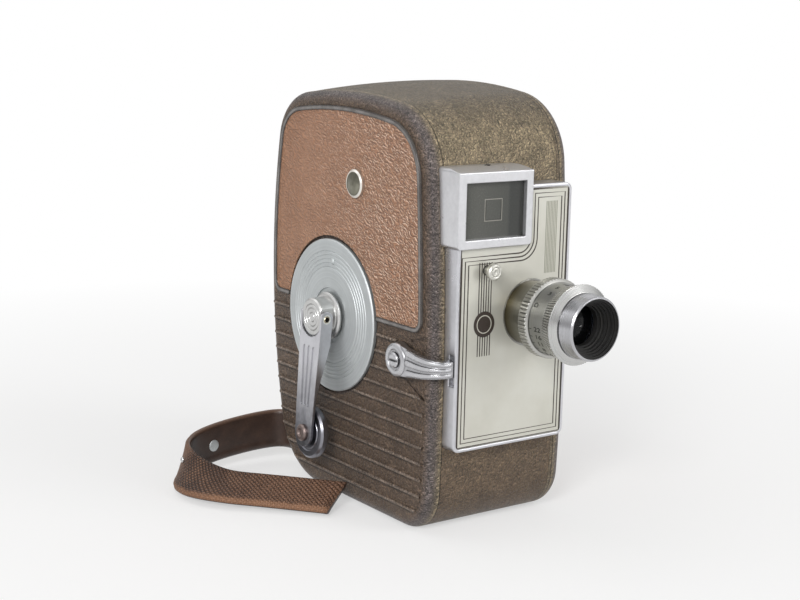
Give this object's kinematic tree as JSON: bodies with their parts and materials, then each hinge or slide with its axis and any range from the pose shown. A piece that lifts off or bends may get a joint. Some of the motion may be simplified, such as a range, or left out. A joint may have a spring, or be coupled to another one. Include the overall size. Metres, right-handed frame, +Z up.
{
  "type": "movie camera",
  "caption": "Spring-wound 8 mm movie camera with folding winding crank, optical finder, screw-mount lens and lift-off film door.",
  "frame": {"origin": "mouth of the tripod socket, in the flat base that the camera stands on", "axes": "+Z up, -Y along the lens's line of sight, -X towards the winding side, +X towards the film door"},
  "size_m": [0.0894, 0.1238, 0.127],
  "materials": {
    "crackle_paint": "bronze crackle enamel",
    "leatherette": "pebbled tan leatherette",
    "grey_bead": "satin grey",
    "satin_aluminium": "satin",
    "bright_chrome": "polished",
    "satin_chrome": "satin",
    "ivory_plate": "ivory silver enamel",
    "black_finish": "matt black",
    "optical_glass": "polished",
    "plain_steel": "brushed",
    "blue_steel": "blued",
    "lacquered_brass": "satin",
    "strap_leather": "woven brown face, smooth dark back"
  },
  "bodies": {
    "housing": {"housing_band": "crackle_paint", "base_plate": "crackle_paint", "side_cover": "crackle_paint", "leather_panel": "leatherette", "panel_bead": "grey_bead", "cover_stud": "satin_chrome", "winding_disc": "satin_aluminium", "front_tray": "bright_chrome", "face_plate": "ivory_plate", "finder_housing": "bright_chrome", "finder_window": "optical_glass", "finder_tube": "black_finish", "finder_eyepiece": "black_finish", "eyepiece_lens": "optical_glass", "lens_socket": "bright_chrome", "lens_barrel": "satin_aluminium", "rear_element": "optical_glass", "iris_leaves": "blue_steel", "mechanism_plate": "plain_steel", "mechanism_bridge": "lacquered_brass", "bridge_pillars": "plain_steel", "bridge_screws": "plain_steel", "shutter_bracket": "plain_steel", "aperture_plate": "bright_chrome", "guide_rollers": "satin_aluminium", "tripod_bush": "bright_chrome", "strap": "strap_leather", "strap_bracket": "plain_steel", "strap_rivets": "bright_chrome", "ratchet_pawl": "plain_steel", "lever_screw": "satin_chrome"},
    "crank": {"crank_hub": "satin_chrome", "winding_arbor": "plain_steel", "ratchet_wheel": "plain_steel", "crank_pin": "satin_chrome"},
    "crank_arm": {"crank_arm": "satin_chrome", "knob_rivet": "satin_chrome"},
    "crank_knob": {"crank_knob": "satin_chrome"},
    "release_lever": {"release_lever": "bright_chrome"},
    "front_button": {"front_button": "satin_chrome"},
    "aperture_ring": {"aperture_ring": "satin_aluminium"},
    "focus_mount": {"focus_ring": "satin_aluminium", "front_hood": "satin_aluminium", "front_element": "optical_glass"},
    "spring_barrel": {"spring_barrel": "lacquered_brass", "mainspring": "blue_steel"},
    "second_arbor": {"second_arbor": "plain_steel"},
    "third_arbor": {"third_arbor": "plain_steel", "bevel_wheel": "lacquered_brass"},
    "governor": {"governor_rotor": "plain_steel"},
    "shutter": {"shutter_shaft": "plain_steel", "shutter_disc": "black_finish"},
    "film_claw": {"film_claw": "plain_steel"},
    "feed_spindle": {"feed_spindle": "satin_aluminium"},
    "take_up": {"take_up_spindle": "satin_aluminium", "take_up_spool": "plain_steel"},
    "pressure_plate": {"pressure_plate": "bright_chrome"},
    "film_door": {"film_door": "crackle_paint", "door_panel": "leatherette"},
    "door_lock": {"door_lock": "satin_chrome"}
  },
  "joints": [
    {"name": "crank_turn", "type": "hinge", "parent": "housing", "child": "crank", "pos_m": [-0.0254, 0.0066, 0.0566], "axis": [-1, 0, 0], "continuous": true},
    {"name": "crank_fold", "type": "hinge", "parent": "crank", "child": "crank_arm", "pos_m": [-0.031, 0.0066, 0.0566], "axis": [0, 1, 0], "range_deg": [0, 175]},
    {"name": "crank_knob_spin", "type": "hinge", "parent": "crank_arm", "child": "crank_knob", "pos_m": [-0.03368, 0.0066, 0.0209], "axis": [0.9972, 0, -0.075], "continuous": true},
    {"name": "release_lever", "type": "hinge", "parent": "housing", "child": "release_lever", "pos_m": [-0.0254, -0.031, 0.0505], "axis": [1, 0, 0], "range_deg": [-5, 6], "stiffness_Nm_per_rad": 0.05},
    {"name": "front_button", "type": "slide", "parent": "housing", "child": "front_button", "axis": [0, 1, 0], "range_m": [0, 0.0015], "stiffness_N_per_m": 400, "springref_m": -0.002},
    {"name": "aperture_ring", "type": "hinge", "parent": "housing", "child": "aperture_ring", "pos_m": [0.0053, -0.06, 0.0642], "axis": [0, 1, 0], "range_deg": [-50, 60]},
    {"name": "focus_ring", "type": "hinge", "parent": "housing", "child": "focus_mount", "pos_m": [0.0053, -0.07, 0.0642], "axis": [0, 1, 0], "range_deg": [-40, 220]},
    {"name": "barrel_turn", "type": "hinge", "parent": "housing", "child": "spring_barrel", "pos_m": [-0.013, 0.0066, 0.0566], "axis": [1, 0, 0], "continuous": true},
    {"name": "second_turn", "type": "hinge", "parent": "housing", "child": "second_arbor", "pos_m": [-0.01, -0.01852, 0.05455], "axis": [1, 0, 0], "continuous": true},
    {"name": "third_turn", "type": "hinge", "parent": "housing", "child": "third_arbor", "pos_m": [-0.01, -0.03, 0.0642], "axis": [1, 0, 0], "continuous": true},
    {"name": "governor_turn", "type": "hinge", "parent": "housing", "child": "governor", "pos_m": [-0.01, -0.03, 0.0742], "axis": [1, 0, 0], "continuous": true},
    {"name": "shutter_turn", "type": "hinge", "parent": "housing", "child": "shutter", "pos_m": [-0.0065, -0.038, 0.0642], "axis": [0, -1, 0], "continuous": true},
    {"name": "claw_slide", "type": "slide", "parent": "housing", "child": "film_claw", "axis": [0, 0, 1], "range_m": [-0.0019, 0.0019]},
    {"name": "feed_turn", "type": "hinge", "parent": "housing", "child": "feed_spindle", "pos_m": [0, 0.009, 0.0945], "axis": [1, 0, 0], "continuous": true},
    {"name": "take_up_turn", "type": "hinge", "parent": "housing", "child": "take_up", "pos_m": [0, 0.009, 0.0335], "axis": [1, 0, 0], "continuous": true},
    {"name": "pressure_plate", "type": "slide", "parent": "housing", "child": "pressure_plate", "axis": [0, 1, 0], "range_m": [0, 0.002], "stiffness_N_per_m": 300, "springref_m": -0.002},
    {"name": "film_door", "type": "slide", "parent": "housing", "child": "film_door", "axis": [1, 0, 0], "range_m": [0, 0.06]},
    {"name": "door_lock", "type": "hinge", "parent": "film_door", "child": "door_lock", "pos_m": [0.0254, -0.012, 0.064], "axis": [1, 0, 0], "range_deg": [0, 90]}
  ],
  "couplings": [
    {"joint": "second_turn", "follows": "barrel_turn", "ratio": -6},
    {"joint": "third_turn", "follows": "barrel_turn", "ratio": 24},
    {"joint": "governor_turn", "follows": "barrel_turn", "ratio": -72},
    {"joint": "shutter_turn", "follows": "barrel_turn", "ratio": 48}
  ]
}
